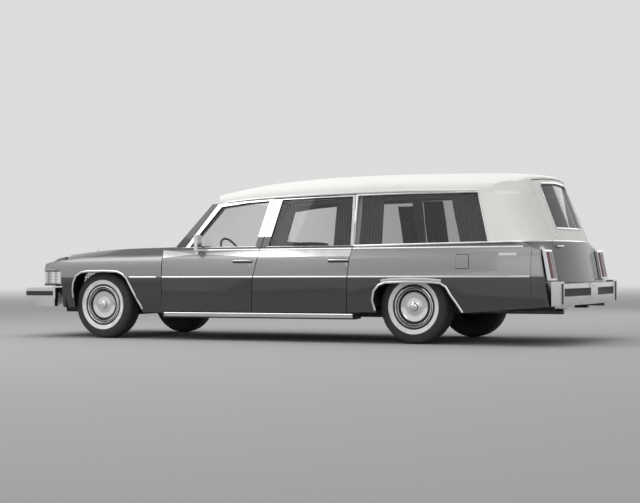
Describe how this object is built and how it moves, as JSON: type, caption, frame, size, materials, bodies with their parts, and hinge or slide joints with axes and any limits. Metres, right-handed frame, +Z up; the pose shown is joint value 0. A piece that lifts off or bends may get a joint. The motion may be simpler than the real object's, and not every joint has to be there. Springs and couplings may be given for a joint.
{
  "type": "hearse",
  "caption": "Long estate-bodied funeral car with a raised pale roof, side and rear doors, curtains and a load floor; wheels, steering, doors, hood and fuel flap move.",
  "frame": {"origin": "on the ground, midway along and across the car", "axes": "+Z up, +X to the car's left side, the car faces -Y"},
  "size_m": [2.078, 6.35, 1.706],
  "materials": {
    "grey_paint": "dark grey metallic body paint, gloss",
    "pale_vinyl": "off-white padded roof covering, fine grain",
    "bright_chrome": "polished chrome",
    "black_steel": "satin black chassis paint",
    "window_glass": "clear, lightly tinted",
    "lamp_glass": "clear ribbed lamp glass",
    "red_lens": "red lamp lens in a bright frame",
    "tyre_rubber": "black rubber with a white band",
    "wheel_cover": "bright full wheel cover",
    "dark_plastic": "soft black trim",
    "seat_cloth": "dark woven seat cloth",
    "curtain_cloth": "grey pleated curtain",
    "floor_board": "varnished board with bright skid strips"
  },
  "bodies": {
    "body": {"chassis_frame": "black_steel", "body_shell": "grey_paint", "floor_pan": "black_steel", "roof": "pale_vinyl", "front_fenders": "grey_paint", "grille": "bright_chrome", "headlamps": "lamp_glass", "front_bumper": "bright_chrome", "rear_bumper": "bright_chrome", "tail_lamps": "red_lens", "fixed_glass": "window_glass", "dashboard": "dark_plastic", "front_seat": "seat_cloth", "load_floor": "floor_board", "curtains": "curtain_cloth", "powertrain": "black_steel", "rear_axle": "black_steel", "front_suspension": "black_steel", "exhaust": "black_steel", "fuel_tank": "black_steel"},
    "knuckle_left": {"knuckle_left": "black_steel"},
    "knuckle_right": {"knuckle_right": "black_steel"},
    "wheel_front_left": {"tyre_front_left": "tyre_rubber", "wheel_front_left": "wheel_cover"},
    "wheel_front_right": {"tyre_front_right": "tyre_rubber", "wheel_front_right": "wheel_cover"},
    "wheel_rear_left": {"tyre_rear_left": "tyre_rubber", "wheel_rear_left": "wheel_cover"},
    "wheel_rear_right": {"tyre_rear_right": "tyre_rubber", "wheel_rear_right": "wheel_cover"},
    "steering_wheel": {"steering_wheel": "dark_plastic"},
    "hood": {"hood": "grey_paint"},
    "fuel_door": {"fuel_door": "grey_paint"},
    "door_front_left": {"door_front_left": "grey_paint", "glass_front_left": "window_glass"},
    "door_front_right": {"door_front_right": "grey_paint", "glass_front_right": "window_glass"},
    "door_rear_left": {"door_rear_left": "grey_paint", "glass_rear_left": "window_glass", "curtains_left_door": "curtain_cloth"},
    "door_rear_right": {"door_rear_right": "grey_paint", "glass_rear_right": "window_glass", "curtains_right_door": "curtain_cloth"},
    "rear_door": {"rear_door": "pale_vinyl", "rear_door_glass": "window_glass"}
  },
  "joints": [
    {"name": "steer_left", "type": "hinge", "parent": "body", "child": "knuckle_left", "pos_m": [0.6905, -2.07, 0.365], "axis": [0, 0, 1], "range_deg": [-30, 30]},
    {"name": "steer_right", "type": "hinge", "parent": "body", "child": "knuckle_right", "pos_m": [-0.6905, -2.07, 0.365], "axis": [0, 0, 1], "range_deg": [-30, 30]},
    {"name": "steering_wheel_turn", "type": "hinge", "parent": "body", "child": "steering_wheel", "pos_m": [0.4, -0.724, 0.905], "axis": [0, 0.8829, 0.4695], "range_deg": [-450, 450]},
    {"name": "wheel_front_left_spin", "type": "hinge", "parent": "knuckle_left", "child": "wheel_front_left", "pos_m": [0.7835, -2.07, 0.365], "axis": [1, 0, 0], "continuous": true},
    {"name": "wheel_front_right_spin", "type": "hinge", "parent": "knuckle_right", "child": "wheel_front_right", "pos_m": [-0.7835, -2.07, 0.365], "axis": [1, 0, 0], "continuous": true},
    {"name": "wheel_rear_left_spin", "type": "hinge", "parent": "body", "child": "wheel_rear_left", "pos_m": [0.7715, 1.6, 0.365], "axis": [1, 0, 0], "continuous": true},
    {"name": "wheel_rear_right_spin", "type": "hinge", "parent": "body", "child": "wheel_rear_right", "pos_m": [-0.7715, 1.6, 0.365], "axis": [1, 0, 0], "continuous": true},
    {"name": "door_front_left_hinge", "type": "hinge", "parent": "body", "child": "door_front_left", "pos_m": [0.99, -1.25, 0.6], "axis": [0, 0, -1], "range_deg": [0, 68]},
    {"name": "door_front_right_hinge", "type": "hinge", "parent": "body", "child": "door_front_right", "pos_m": [-0.99, -1.25, 0.6], "axis": [0, 0, 1], "range_deg": [0, 68]},
    {"name": "door_rear_left_hinge", "type": "hinge", "parent": "body", "child": "door_rear_left", "pos_m": [0.99, -0.163, 0.6], "axis": [0, 0, -1], "range_deg": [0, 68]},
    {"name": "door_rear_right_hinge", "type": "hinge", "parent": "body", "child": "door_rear_right", "pos_m": [-0.99, -0.163, 0.6], "axis": [0, 0, 1], "range_deg": [0, 68]},
    {"name": "hood_hinge", "type": "hinge", "parent": "body", "child": "hood", "pos_m": [0, -1.28, 1.002], "axis": [-1, 0, 0], "range_deg": [0, 50]},
    {"name": "rear_door_hinge", "type": "hinge", "parent": "body", "child": "rear_door", "pos_m": [-0.59, 2.9385, 0.968], "axis": [0, -0.283, 0.9591], "range_deg": [0, 100]},
    {"name": "fuel_door_hinge", "type": "hinge", "parent": "body", "child": "fuel_door", "pos_m": [0.9815, 2.085, 0.8], "axis": [0, 0, -1], "range_deg": [0, 85]}
  ],
  "couplings": [
    {"joint": "steer_right", "follows": "steer_left", "ratio": 1},
    {"joint": "steering_wheel_turn", "follows": "steer_left", "ratio": 15}
  ]
}
